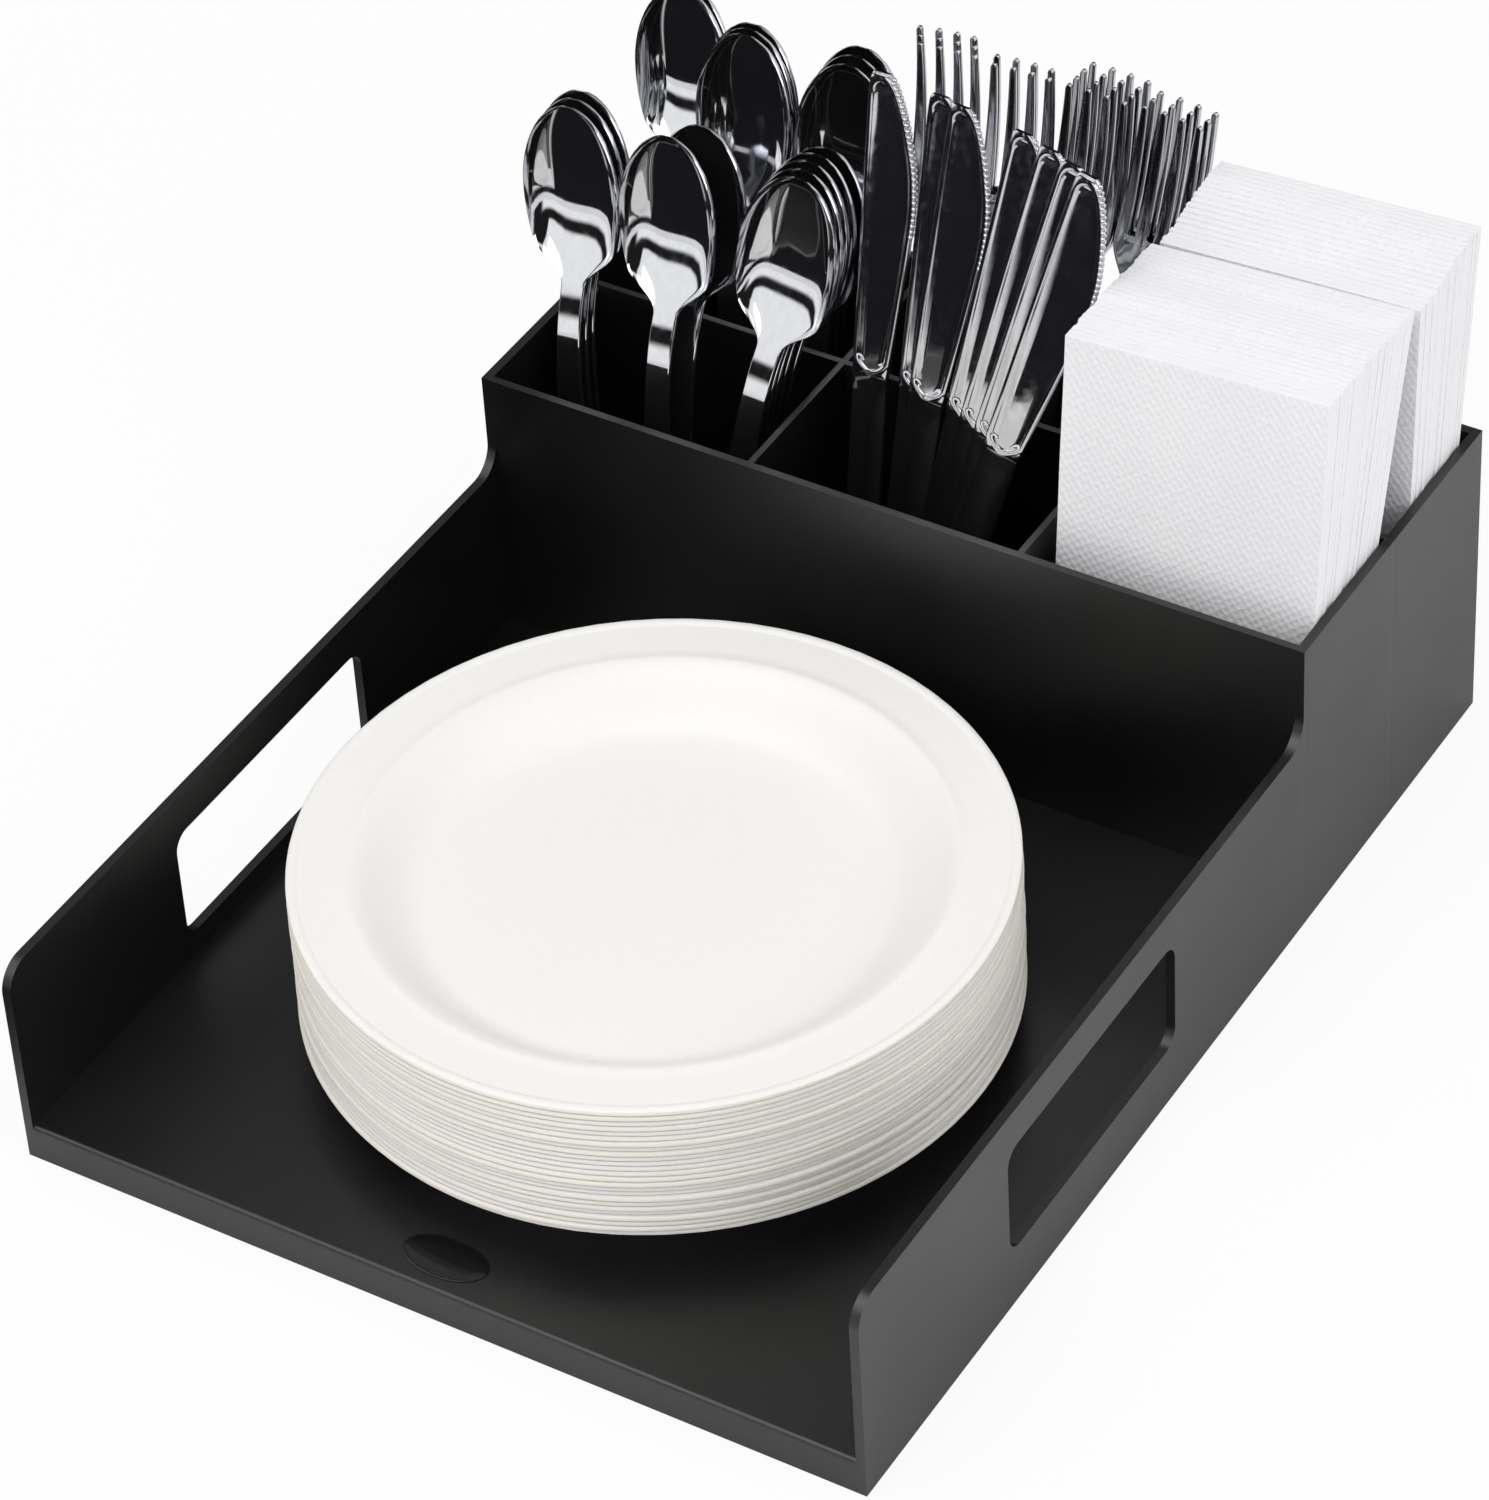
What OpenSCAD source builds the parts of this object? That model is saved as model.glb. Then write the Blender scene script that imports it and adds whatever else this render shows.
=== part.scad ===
// Utensil and napkin caddy. A one-piece moulded tray with an open plate bay in
// front and six upright bays behind it, and the load it carries: plates,
// napkins, spoons, knives and forks.
// Millimetres. X to the right, Y to the back, Z up. The origin is on the
// ground under the middle of the caddy.

/* [Caddy] */
// Overall width
body_w = 304.8; // [270:0.2:420]
// Overall depth
body_d = 406.4; // [370:0.2:520]
// Height of the walls round the upright bays
wall_h = 116; // [95:0.5:150]
// Height of the walls beside the plates
low_wall_h = 79; // [72:0.5:92]
// Height of the floor's upper face, which is also the height of the skirt
skirt_h = 13.6; // [10:0.2:20]
// Thickness of the floor
floor_t = 3; // [2:0.1:5]
// Thickness of the side walls, the rear wall and the front skirt
side_t = 3.2; // [2.4:0.1:5]
// Thickness of the wall between the plates and the upright bays
cross_t = 2.6; // [1.8:0.1:4]
// Thickness of the dividers between the upright bays
divider_t = 2.2; // [1.6:0.1:3.5]
// Depth of the upright bays together, walls included
organiser_d = 126; // [118:0.5:150]
// Rounding of the low walls' front top corners
low_corner_r = 10; // [4:0.5:20]
// Rounding in the step between the low walls and the high walls
step_r = 10; // [4:0.5:12]
// Rounding along the front edge of the floor
nose_r = 1.6; // [0.6:0.1:2.4]

/* [Handles] */
// Length of each hand hole
handle_l = 106; // [85:0.5:125]
// Height of each hand hole
handle_h = 42; // [30:0.5:46]
// Distance from the front edge to the hand hole
handle_inset = 88; // [60:0.5:110]
// Height of the hand hole's lower edge
handle_z = 22.4; // [20:0.2:24]
// Rounding of the hand hole's corners
handle_r = 6.5; // [2:0.5:14]

/* [Plates] */
// Plate diameter
plate_d = 229; // [180:1:250]
// Diameter of the plate's flat middle
plate_flat_d = 150; // [110:1:160]
// Width of the plate's rim
plate_rim_w = 18; // [8:0.5:24]
// Height from the plate's underside to its rim
plate_depth = 17; // [10:0.5:22]
// Thickness of a plate
plate_t = 1.3; // [0.8:0.1:1.9]
// Height from each plate to the next
plate_pitch = 2.1; // [2:0.05:3]
// Plates in the lower part of the stack
lower_plates = 14; // [2:1:18]
// Plates in the upper part of the stack, under the top one
upper_plates = 10; // [2:1:12]
// Distance from the front edge to the middle of the plates
plate_inset = 137; // [132:0.5:145]

/* [Napkins] */
// Room left beside a folded napkin across its bay
napkin_room = 6; // [5:0.5:30]
// Gap between the napkins and the outer wall beside them
napkin_wall_gap = 0.6; // [0.3:0.1:2]
// Height of a folded napkin
napkin_h = 178; // [140:1:200]
// Thickness of a folded napkin
napkin_t = 2.8; // [1:0.1:3.5]
// Gap between folded napkins at the foot
napkin_gap = 0.15; // [0.1:0.05:0.6]
// Napkins in the front bay
front_napkins = 12; // [2:1:12]
// Napkins in the rear bay
rear_napkins = 9; // [2:1:10]
// Gap in front of the front napkins, at the floor
front_napkin_gap = 0.4; // [0.3:0.1:2]
// Gap in front of the rear napkins, at the floor
rear_napkin_gap = 12; // [6:0.5:14]
// Gap left between the last napkin and the wall behind it
napkin_rest_gap = 1; // [0.6:0.1:3]
// Gap between the floor and the napkins' feet
napkin_seat_gap = 0.1; // [0.05:0.05:0.4]

/* [Spoons] */
// Length of a spoon
spoon_l = 185; // [150:1:200]
// Width of the bowl
bowl_w = 37; // [26:0.5:37.5]
// Length of the bowl
bowl_l = 64; // [45:0.5:70]
// Depth of the bowl
bowl_depth = 7.5; // [4:0.5:9]
// Width of the neck
spoon_neck_w = 9; // [5:0.5:11]
// Width of the handle's end
spoon_end_w = 14; // [9:0.5:14.5]
// How far the handle arches forward
spoon_arch = 4; // [0:0.5:5]

/* [Forks] */
// Length of a fork
fork_l = 200; // [160:1:215]
// Width across the four prongs
fork_head_w = 24; // [18:0.5:24.5]
// Length of the prongs
prong_l = 46; // [30:1:55]
// Length of the head below the prongs
fork_palm_l = 22; // [16:0.5:28]
// Gap between the prongs at their root
prong_gap = 2.2; // [1.6:0.1:3]
// How far each side of a prong draws in towards its tip
prong_taper = 0.9; // [0.3:0.1:1]
// Width of the neck
fork_neck_w = 7; // [5:0.5:9]
// Width of the handle's end
fork_end_w = 14; // [9:0.5:14.5]
// How far the head curves back and forward
fork_arch = 4; // [0:0.5:5]

/* [Knives] */
// Length of a knife
knife_l = 222; // [180:1:235]
// Length of the blade
blade_l = 104; // [80:1:115]
// Width of the blade
blade_w = 20; // [15:0.5:21]
// Width of the handle
knife_handle_w = 13; // [9:0.5:15]
// Fall of the handle's two slopes from the ridge along its middle
ridge_h = 0.5; // [0.2:0.1:0.7]
// Length of the slope that ends the ridge, below the blade
ridge_end_l = 12; // [6:0.5:20]
// Width of the raised border round the blade
blade_border = 2; // [1:0.1:2.5]
// Depth of the panel inside that border
blade_panel = 0.6; // [0.2:0.1:0.8]

/* [Cutlery] */
// Thickness of the cutlery
cutlery_t = 1.6; // [1.2:0.1:2]
// Length of the rounding at a handle's end
handle_end_l = 5; // [3:0.5:8]
// How far the cutlery leans back
lean = 14; // [8:0.5:15]
// Gap between the front wall of a bay and the cutlery's foot
foot_gap = 6; // [5.5:0.5:7]
// Gap between the floor and the cutlery's foot
seat_gap = 0.3; // [0.2:0.1:0.6]

/* [Hidden] */
// Each set: steps right and back from the bay's front middle, how far the first
// tip leans to the right and how much further each next one does, all as shares
// of the bay, then the number nested and the pitch of the nesting in thicknesses
front_spoons = [[-0.265, 0, -0.212, 0, 3, 3], [0.051, 0, -0.13, 0.08, 2, 5.75], [0.235, 0, 0.19, 0, 5, 2.8]];
rear_spoons = [[-0.327, 0.24, -0.138, 0, 2, 2], [-0.061, 0, -0.1, 0, 3, 2], [0.245, 0, 0.007, 0, 3, 3.375]];
knives = [[-0.265, 0.146, -0.087, 0, 2, 1.125], [-0.133, 0.082, 0.102, -0.083, 2, 1.125],
    [-0.071, 0.018, 0.394, -0.105, 2, 1.125], [-0.03, -0.016, 0.449, 0, 1, 1.125], [0.01, -0.08, 0.5, 0, 2, 1.125]];
forks = [[-0.286, 0, -0.13, -0.022, 3, 2.8125], [-0.092, 0, -0.057, -0.01, 2, 2.8125],
    [0.092, 0, 0.05, 0.008, 4, 2.8125], [0.276, 0, 0.149, 0.01, 3, 2.8125]];
// Lean of the first and the last napkin in a bay, as shares of the lean that
// would touch the wall behind
napkin_leans = [0.5, 0.94];
// Place of the bowl's widest part up its length
bowl_wide = 0.53;
// Blade outline: height up the blade, back edge and cutting edge as shares of its
// width from the handle's middle, and the share of that left by its rounded foot
blade_outline = [[0, -0.335, 0.335, 0.5], [0.014, -0.335, 0.345, 0.8], [0.05, -0.34, 0.37, 1], [0.2, -0.34, 0.455, 1],
    [0.4, -0.34, 0.57, 1], [0.58, -0.34, 0.66, 1], [0.71, -0.34, 0.62, 1], [0.845, -0.34, 0.45, 1],
    [0.92, -0.34, 0.31, 1], [0.96, -0.335, 0.21, 1], [0.988, -0.325, 0.12, 1], [1, -0.28, 0.02, 1]];

$fn = 48;

// How far a cut runs past the face that it opens
cut = 1;

black = [0.05, 0.05, 0.055];
white = [0.93, 0.92, 0.9];
silver = [0.72, 0.73, 0.75];

front_y = -body_d / 2;
back_y = body_d / 2;
cross_y = back_y - organiser_d;
inner_w = body_w - 2 * side_t;
bay_w = (inner_w - 2 * divider_t) / 3;
bay_d = (organiser_d - cross_t - divider_t - side_t) / 2;
front_bay_y = cross_y + cross_t;
rear_bay_y = front_bay_y + bay_d + divider_t;
plate_y = front_y + plate_inset;
napkin_w = bay_w - napkin_room;
fork_shoulder = fork_l - prong_l - fork_palm_l;
bowl_start = spoon_l - bowl_l;
blade_start = knife_l - blade_l;

function bay_x(column) = column * (bay_w + divider_t);
function ease(x) = (1 - cos(180 * x)) / 2;
function mix(a, b, x) = a + (b - a) * x;
// Share of the full width left at a height above a rounded handle end, from a half
function end_share(s) = s < handle_end_l ? sqrt(1 - 0.75 * pow(1 - s / handle_end_l, 2)) : 1;
handle_steps = [0, 0.3 * handle_end_l, handle_end_l];

module rounded_slot(l, h, r) {
    translate([r, 0]) square([l - 2 * r, h]);
    translate([0, r]) square([l, h - 2 * r]);
    for (x = [r, l - r], z = [r, h - r]) translate([x, z]) circle(r);
}

module corner_waste(r) {
    difference() {
        translate([-cut, 0]) square([r + cut, r + cut]);
        translate([r, 0]) circle(r);
    }
}

// One side of the caddy in Y and Z
module side_outline() {
    difference() {
        union() {
            translate([front_y, 0]) square([body_d, low_wall_h]);
            translate([cross_y, 0]) square([organiser_d, wall_h]);
            difference() {
                translate([cross_y - step_r, low_wall_h - cut]) square([step_r + cut, step_r + cut]);
                translate([cross_y - step_r, low_wall_h + step_r]) circle(step_r);
            }
        }
        translate([front_y, low_wall_h - low_corner_r]) corner_waste(low_corner_r);
        translate([front_y + handle_inset, handle_z]) rounded_slot(handle_l, handle_h, handle_r);
    }
}

// Floor and front skirt in Y and Z
module floor_outline() {
    difference() {
        union() {
            translate([front_y, 0]) square([side_t, skirt_h]);
            translate([front_y, skirt_h - floor_t]) square([body_d, floor_t]);
        }
        translate([front_y, skirt_h - nose_r]) corner_waste(nose_r);
    }
}

module along_x(w) {
    translate([-w / 2, 0, 0]) rotate([90, 0, 90]) linear_extrude(w) children();
}

module wall_across(y, t) {
    translate([-body_w / 2 + side_t / 2, y, skirt_h - floor_t / 2])
        cube([body_w - side_t, t, wall_h - skirt_h + floor_t / 2]);
}

module caddy_body() {
    color(black) {
        along_x(body_w) floor_outline();
        for (x = [-body_w / 2 + side_t / 2, body_w / 2 - side_t / 2])
            translate([x, 0, 0]) along_x(side_t) side_outline();
        wall_across(cross_y, cross_t);
        wall_across(front_bay_y + bay_d, divider_t);
        translate([-body_w / 2, back_y - side_t, 0]) cube([body_w, side_t, wall_h]);
        for (side = [-1, 1])
            translate([side * bay_x(0.5) - divider_t / 2, cross_y + cross_t / 2, skirt_h - floor_t / 2])
                cube([divider_t, organiser_d - cross_t / 2 - side_t / 2, wall_h - skirt_h + floor_t / 2]);
    }
}

// Upper line of a plate's section, from the middle out
function plate_line() = let(r = plate_d / 2, foot = plate_flat_d / 2, rim = r - plate_rim_w, run = rim - foot)
    [[0, 0], [foot - 0.1 * run, 0], [foot + 0.22 * run, 0.14 * plate_depth], [rim - 0.3 * run, 0.78 * plate_depth],
        [rim, 0.97 * plate_depth], [r - 0.28 * plate_rim_w, plate_depth],
        [r - 0.07 * plate_rim_w, plate_depth - 0.08 * plate_t], [r, plate_depth - 0.4 * plate_t]];

module plate() {
    line = plate_line();
    last = len(line) - 1;
    rotate_extrude($fn = 96) polygon(concat(
        [for (p = line) [p[0], p[1] + plate_t]],
        [for (k = [last:-1:0]) line[k]]));
}

// A run of plates, counted up from the lowest in the stack
module plates(first, count) {
    color(white) for (k = [first:first + count - 1])
        translate([0, plate_y, skirt_h + k * plate_pitch]) plate();
}

// Napkins fanned from upright to leaning on the top of the wall behind them
module napkin_stack(bay_y, gap, count) {
    foot = napkin_t + napkin_gap;
    behind = bay_d - gap - count * foot - napkin_rest_gap;
    rear_lean = atan(behind / (wall_h - skirt_h));
    color(white) for (k = [0:count - 1]) {
        a = mix(napkin_leans[0], napkin_leans[1], k / (count - 1)) * rear_lean;
        translate([bay_x(1) + napkin_room / 2 - napkin_wall_gap, bay_y + gap + k * foot,
                skirt_h + napkin_t * sin(a) + napkin_seat_gap])
            rotate([-a, 0, 0]) translate([-napkin_w / 2, 0, 0]) cube([napkin_w, napkin_t, napkin_h]);
    }
}

// A nested set standing in a bay on its handle ends, leaning back and to one side
module standing(column, bay_y, set, length, end_w) {
    pitch = set[5] * cutlery_t;
    for (k = [0:set[4] - 1]) {
        side = asin((set[2] + k * set[3]) * bay_w / length);
        dip = end_share(0) * end_w / 2 * abs(sin(side));
        translate([bay_x(column) + set[0] * bay_w, bay_y + foot_gap + set[1] * bay_d, skirt_h + seat_gap])
            rotate([-lean, 0, 0])
                translate([0, k * pitch, (k * pitch + cutlery_t) * tan(lean) + dip])
                    rotate([0, side, 0]) children();
    }
}

function spoon_half(s) = let(v = (s - bowl_start) / bowl_l)
    s < bowl_start ? end_share(s) * mix(spoon_end_w, spoon_neck_w, ease(s / bowl_start)) / 2 :
    v < bowl_wide ? mix(spoon_neck_w, bowl_w, pow(sin(90 * v / bowl_wide), 1.3)) / 2 :
    bowl_w / 2 * sqrt(1 - pow((v - bowl_wide) / (1.011 * (1 - bowl_wide)), 2));
function spoon_dish(s) = s <= bowl_start || s >= spoon_l ? 0 :
    bowl_depth * pow(sin(180 * (s - bowl_start) / bowl_l), 0.8);
function spoon_bend(s) = s < bowl_start ? -spoon_arch * sin(180 * s / bowl_start) : 0;

// Foot at the origin, tip up, hollow side to the front
module spoon() {
    stations = concat(handle_steps, [for (k = [1:4]) mix(handle_end_l, bowl_start, k / 4)],
        [for (v = [0.08, 0.18, 0.3, 0.42, 0.54, 0.68, 0.82, 0.93, 1]) bowl_start + v * bowl_l]);
    across = [-1, -0.5, 0, 0.5, 1];
    ring = 2 * len(across);
    points = [for (s = stations, back = [0, 1], k = [0:4])
        let(u = across[back == 0 ? k : 4 - k])
        [u * spoon_half(s), spoon_bend(s) + spoon_dish(s) * (1 - u * u) + back * cutlery_t, s]];
    sides = [for (i = [0:len(stations) - 2], j = [0:ring - 1], half = [0, 1])
        let(a = i * ring + j, b = i * ring + (j + 1) % ring)
        half == 0 ? [a, a + ring, b + ring] : [a, b + ring, b]];
    top = (len(stations) - 1) * ring;
    ends = [for (k = [0:3], half = [0, 1], end = [0, 1])
        let(a = k, b = half == 0 ? k + 1 : ring - 2 - k, c = half == 0 ? ring - 2 - k : ring - 1 - k)
        end == 0 ? [a, b, c] : [top + c, top + b, top + a]];
    color(silver) polyhedron(points, concat(sides, ends), convexity = 6);
}

function fork_half(s) = s < fork_shoulder ?
    end_share(s) * mix(fork_end_w, fork_neck_w, ease(s / fork_shoulder)) / 2 :
    mix(fork_neck_w, fork_head_w, ease(min(1, (s - fork_shoulder) / (0.9 * fork_palm_l)))) / 2;
function fork_bend(s) = s < fork_shoulder ? -fork_arch * sin(180 * s / fork_shoulder) :
    fork_arch * sin(150 * (s - fork_shoulder) / (fork_l - fork_shoulder));

// Foot at the origin, prongs up
module fork() {
    root = fork_l - prong_l;
    heights = concat(handle_steps, [for (k = [0.3, 0.6, 0.9]) k * fork_shoulder],
        [for (k = [0:5]) fork_shoulder + k / 5.5 * fork_palm_l], [fork_l]);
    bends = [for (k = [0:14]) k * fork_l / 14];
    prong = (fork_head_w - 3 * prong_gap) / 4;
    over = 2 * (fork_arch + 2 * cutlery_t);
    color(silver) intersection() {
        translate([0, over, 0]) rotate([90, 0, 0]) linear_extrude(2 * over) difference() {
            polygon(concat([for (s = heights) [fork_half(s), s]],
                [for (k = [len(heights) - 1:-1:0]) [-fork_half(heights[k]), heights[k]]]));
            for (k = [-1, 0, 1]) translate([k * (prong + prong_gap), root]) {
                circle(prong_gap / 2, $fn = 16);
                polygon([[-prong_gap / 2, 0], [prong_gap / 2, 0],
                    [prong_gap / 2 + prong_taper, prong_l + cut], [-prong_gap / 2 - prong_taper, prong_l + cut]]);
            }
            for (side = [-1, 1]) polygon([[side * fork_head_w / 2, root + 2 * prong_gap],
                [side * (fork_head_w / 2 - 1.8 * prong_taper), fork_l + cut],
                [side * (fork_head_w / 2 + cut), fork_l + cut]]);
        }
        along_x(2 * fork_head_w) polygon(concat([for (s = bends) [fork_bend(s), s]],
            [for (k = [14:-1:0]) [fork_bend(bends[k]) + cutlery_t, bends[k]]]));
    }
}

// One edge of the blade, 1 its back and 2 its cutting edge
function blade_edge(edge) = [for (p = blade_outline) [p[edge] * blade_w, blade_start + p[0] * blade_l]];
// The same edge with the foot rounded, drawn in by an inset
function border_edge(edge, inset) = [for (p = blade_outline)
    let(half = (p[2] - p[1]) / 2 * blade_w, left = p[3] * max(half / 3, half - inset))
    [(p[1] + p[2]) / 2 * blade_w + (edge == 1 ? -left : left), blade_start + inset + p[0] * (blade_l - 2 * inset)]];
function backwards(list) = [for (k = [len(list) - 1:-1:0]) list[k]];

// Stands a drawing up in X and Z, with its thickness to the back
module upright(t) {
    translate([0, t, 0]) rotate([90, 0, 0]) linear_extrude(t) children();
}

// What the handle's slopes take off its front, up to the rounded foot of the blade
module handle_slopes() {
    half = knife_handle_w / 2 + cut;
    fall = ridge_h * half / (knife_handle_w / 2);
    top = blade_start + blade_outline[2][0] * blade_l;
    ridge_top = blade_start - ridge_end_l;
    difference() {
        union() {
            translate([0, 0, -cut]) linear_extrude(top + cut)
                polygon([[0, 0], [half, fall], [half, -cut], [-half, -cut], [-half, fall]]);
            along_x(2 * half) polygon([[0, ridge_top], [ridge_h * (top - ridge_top) / ridge_end_l, top],
                [-cut, top], [-cut, ridge_top]]);
        }
        translate([0, -2 * cut, 0]) upright(4 * cut)
            polygon(concat(border_edge(2, 0), backwards(border_edge(1, 0))));
    }
}

// Foot at the origin, tip up, cutting edge to the right
module knife() {
    handle = [for (s = handle_steps) [end_share(s) * knife_handle_w / 2, s]];
    color(silver) difference() {
        upright(cutlery_t) polygon(concat(handle, blade_edge(2), backwards(blade_edge(1)),
            [for (p = backwards(handle)) [-p[0], p[1]]]));
        translate([0, -cut, 0]) upright(cut + blade_panel)
            polygon(concat(border_edge(2, blade_border), backwards(border_edge(1, blade_border))));
        handle_slopes();
    }
}

caddy_body();
plates(0, lower_plates);
plates(lower_plates, upper_plates);
plates(lower_plates + upper_plates, 1);  // top_plate
napkin_stack(front_bay_y, front_napkin_gap, front_napkins);  // napkins_front
napkin_stack(rear_bay_y, rear_napkin_gap, rear_napkins);  // napkins_rear
standing(-1, front_bay_y, front_spoons[0], spoon_l, spoon_end_w) spoon();  // spoons_front_left
standing(-1, front_bay_y, front_spoons[1], spoon_l, spoon_end_w) spoon();  // spoons_front_middle
standing(-1, front_bay_y, front_spoons[2], spoon_l, spoon_end_w) spoon();  // spoons_front_right
standing(-1, rear_bay_y, rear_spoons[0], spoon_l, spoon_end_w) spoon();  // spoons_rear_left
standing(-1, rear_bay_y, rear_spoons[1], spoon_l, spoon_end_w) spoon();  // spoons_rear_middle
standing(-1, rear_bay_y, rear_spoons[2], spoon_l, spoon_end_w) spoon();  // spoons_rear_right
standing(0, front_bay_y, knives[0], knife_l, knife_handle_w) knife();  // knives_far_left
standing(0, front_bay_y, knives[1], knife_l, knife_handle_w) knife();  // knives_left
standing(0, front_bay_y, knives[2], knife_l, knife_handle_w) knife();  // knives_middle
standing(0, front_bay_y, knives[3], knife_l, knife_handle_w) knife();  // knives_right
standing(0, front_bay_y, knives[4], knife_l, knife_handle_w) knife();  // knives_far_right
standing(0, rear_bay_y, forks[0], fork_l, fork_end_w) fork();  // forks_far_left
standing(0, rear_bay_y, forks[1], fork_l, fork_end_w) fork();  // forks_left
standing(0, rear_bay_y, forks[2], fork_l, fork_end_w) fork();  // forks_right
standing(0, rear_bay_y, forks[3], fork_l, fork_end_w) fork();  // forks_far_right
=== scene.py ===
# Looks for the utensil and napkin caddy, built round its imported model.
# Sizes in the dictionaries are millimetres and degrees. The scene is in metres, and so are the places
# of the camera and the lamps.
import math
from functools import partial

import bmesh
import bpy
from mathutils import Matrix, Vector


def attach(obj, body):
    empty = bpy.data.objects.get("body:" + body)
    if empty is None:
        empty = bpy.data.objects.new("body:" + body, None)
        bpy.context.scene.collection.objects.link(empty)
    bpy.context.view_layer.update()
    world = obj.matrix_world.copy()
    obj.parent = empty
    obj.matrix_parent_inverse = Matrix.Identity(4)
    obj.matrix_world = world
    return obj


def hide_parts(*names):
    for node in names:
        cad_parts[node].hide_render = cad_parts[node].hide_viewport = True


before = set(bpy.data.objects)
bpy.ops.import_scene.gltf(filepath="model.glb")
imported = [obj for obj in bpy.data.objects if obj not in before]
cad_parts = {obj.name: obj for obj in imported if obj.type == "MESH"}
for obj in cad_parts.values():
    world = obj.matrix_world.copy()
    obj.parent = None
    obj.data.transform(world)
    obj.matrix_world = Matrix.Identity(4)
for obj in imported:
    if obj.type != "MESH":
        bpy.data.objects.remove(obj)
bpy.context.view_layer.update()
scene = bpy.context.scene
scene.view_settings.view_transform = "Standard"
mm = 0.001
print("frame loaded,", len(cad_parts), "nodes")


def hexColour(code):  # sRGB hex to linear
    channels = [int(code[k:k + 2], 16) / 255 for k in (1, 3, 5)]
    linear = [c / 12.92 if c <= 0.04045 else ((c + 0.055) / 1.055) ** 2.4 for c in channels]
    return tuple(linear) + (1.0,)


def mix(a, b, share):
    return a + (b - a) * share


def ease(share):
    return (1 - math.cos(math.pi * min(1.0, max(0.0, share)))) / 2


def steps(a, b, count):  # even steps that end on b and leave a out
    return [mix(a, b, k / count) for k in range(1, count + 1)]


def aimed(at, target):
    way = Vector(target) - Vector(at)
    return Matrix.Translation(at) @ way.to_track_quat("-Z", "Y").to_matrix().to_4x4()


def addNode(tree, kind, wires=None, **settings):  # a wire from a node starts at its first output
    node = tree.nodes.new(kind)
    for name, value in settings.items():
        setattr(node, name, value)
    for socket, source in (wires or {}).items():
        if isinstance(source, bpy.types.Node):
            source = source.outputs[0]
        if isinstance(source, bpy.types.NodeSocket):
            tree.links.new(source, node.inputs[socket])
        else:
            node.inputs[socket].default_value = source
    return node


def newMaterial(name):
    material = bpy.data.materials.new(name)
    material.use_nodes = True
    material.node_tree.nodes.clear()
    return material, partial(addNode, material.node_tree)


# camera: fitted to the caddy's corners in the photograph
cameraView = {"eye": (0.8313, -1.2784, 1.3963), "target": (0.0025, -0.0148, 0.0863), "roll": -3.66,
              "lens": 152.5, "sensor": 36, "nearest": 0.05}


def placeCamera():
    view = cameraView
    camera = bpy.data.objects.new("camera", bpy.data.cameras.new("camera"))
    scene.collection.objects.link(camera)
    camera.data.lens = view["lens"]
    camera.data.sensor_width = view["sensor"]
    camera.data.clip_start = view["nearest"]
    roll = Matrix.Rotation(math.radians(view["roll"]), 4, "Z")
    camera.matrix_world = aimed(view["eye"], view["target"]) @ roll
    scene.camera = camera


placeCamera()
print("camera placed")

# studio: a white sweep and soft lamps. Reflections see a floor that is dark beyond the sweep, with painted
# shade at the caddy's left in place of its shadow, and white far out, and a dark room with bright panels
studio = {
    "floor": "#f8f8f8", "floorHalf": 8, "floorDrop": 0.0003,  # clear of the caddy's rim
    "whiten": 0.9,
    "sweepRadius": 480, "sweepFade": 1.5,
    "leftEdge": 165, "leftFade": 1.2,
    "brightRadius": 1150, "brightFade": 1.15,
    "roomDark": "#131316", "roomBright": "#ffffff", "worldStrength": 0.6,
    "lampTarget": (0, 0, 0.08),
    "lamps": [
        {"name": "overheadFront", "at": (0.0, -0.55, 1.65), "size": (1.3, 0.9), "watts": 7.1},
        {"name": "rightFill", "at": (1.5, -0.2, 1.1), "size": (0.8, 1.0), "watts": 7.1},
        {"name": "leftFill", "at": (-1.4, 0.0, 0.75), "size": (0.5, 1.3), "watts": 1.9},
        {"name": "frontFill", "at": (-0.5, -1.35, 1.5), "size": (1.4, 0.7), "watts": 4.2},
    ],
    # panels that only reflections see: the way to them, half width, lower and upper edge as sines
    "panelFade": {"facing": 0.1, "side": 0.08, "low": 0.05, "high": 0.08},
    "panels": [
        {"toward": (-0.43, -0.9, 0), "half": 0.9, "low": -0.06, "high": 0.08, "strength": 1.2},
        {"toward": (-0.43, -0.9, 0), "half": 0.6, "low": 0.26, "high": 0.9, "strength": 1.2},
        {"toward": (-0.55, 0.84, 0), "half": 0.6, "low": 0.4, "high": 0.9, "strength": 0.3},
        {"toward": (0.87, 0.5, 0), "half": 0.65, "low": -0.05, "high": 0.7, "strength": 1.0},
    ],
}


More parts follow.
